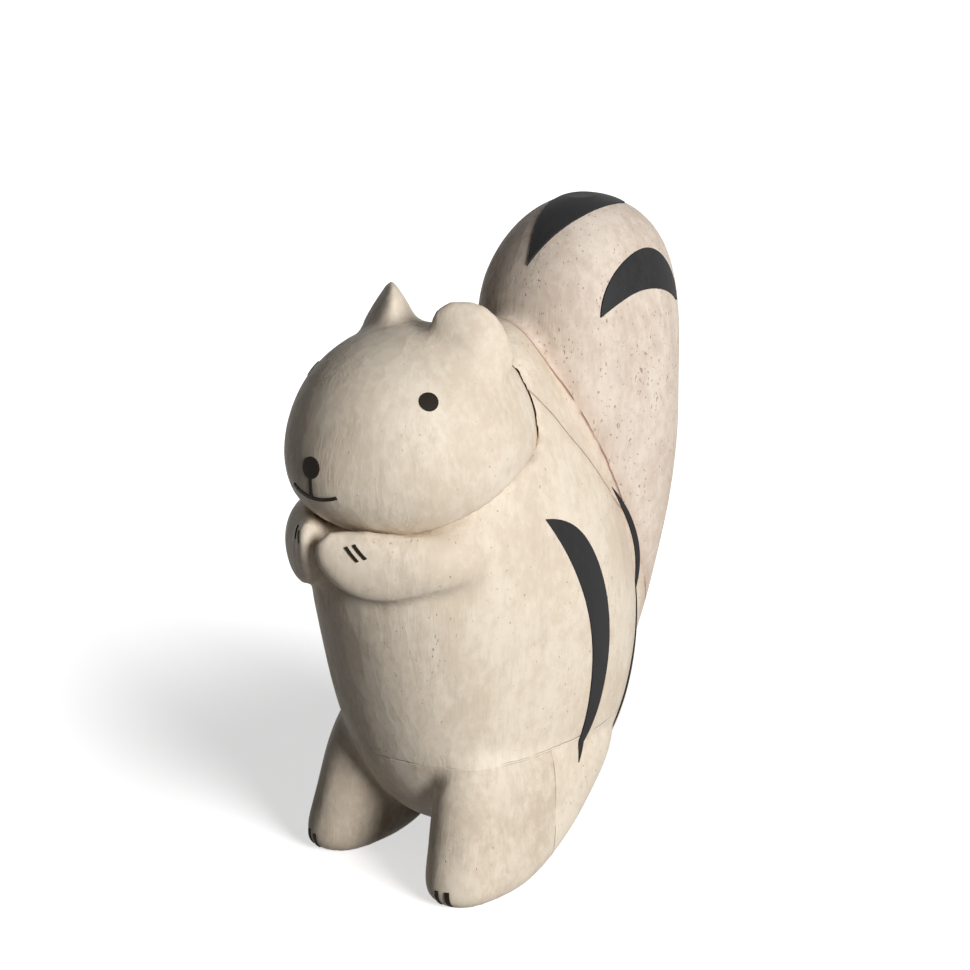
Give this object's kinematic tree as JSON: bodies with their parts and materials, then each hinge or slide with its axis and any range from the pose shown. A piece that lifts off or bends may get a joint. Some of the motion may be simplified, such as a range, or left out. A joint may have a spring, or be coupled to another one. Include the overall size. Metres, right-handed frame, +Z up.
{
  "type": "squirrel figurine",
  "caption": "Small carved wooden squirrel sitting up with its paws at its chin and its tail raised behind it, with painted dark marks.",
  "frame": {"origin": "on the ground, under the middle of the figure's box", "axes": "+Z up, the face looks along -Y, the squirrel's left side is +X"},
  "size_m": [0.0413, 0.0768, 0.1042],
  "materials": {
    "carved_wood": "pale whitewash, rubbed back, soft sheen",
    "dowel_wood": "plain turned hardwood",
    "dark_paint": "matt dark paint, brushed on"
  },
  "bodies": {
    "root": {"body_block": "carved_wood", "head_block": "carved_wood", "tail_block": "carved_wood", "left_hind_leg": "carved_wood", "right_hind_leg": "carved_wood", "left_ear": "carved_wood", "right_ear": "carved_wood", "neck_dowel": "dowel_wood", "upper_tail_dowel": "dowel_wood", "lower_tail_dowel": "dowel_wood", "left_leg_dowel": "dowel_wood", "right_leg_dowel": "dowel_wood", "left_eye": "dark_paint", "right_eye": "dark_paint", "nose_and_mouth": "dark_paint", "left_paw_claws": "dark_paint", "right_paw_claws": "dark_paint", "left_foot_claws": "dark_paint", "right_foot_claws": "dark_paint", "left_flank_stripe": "dark_paint", "right_flank_stripe": "dark_paint", "left_back_stripe": "dark_paint", "right_back_stripe": "dark_paint", "left_tail_stripe": "dark_paint", "right_tail_stripe": "dark_paint", "tail_crown_stripe": "dark_paint"}
  },
  "joints": []
}
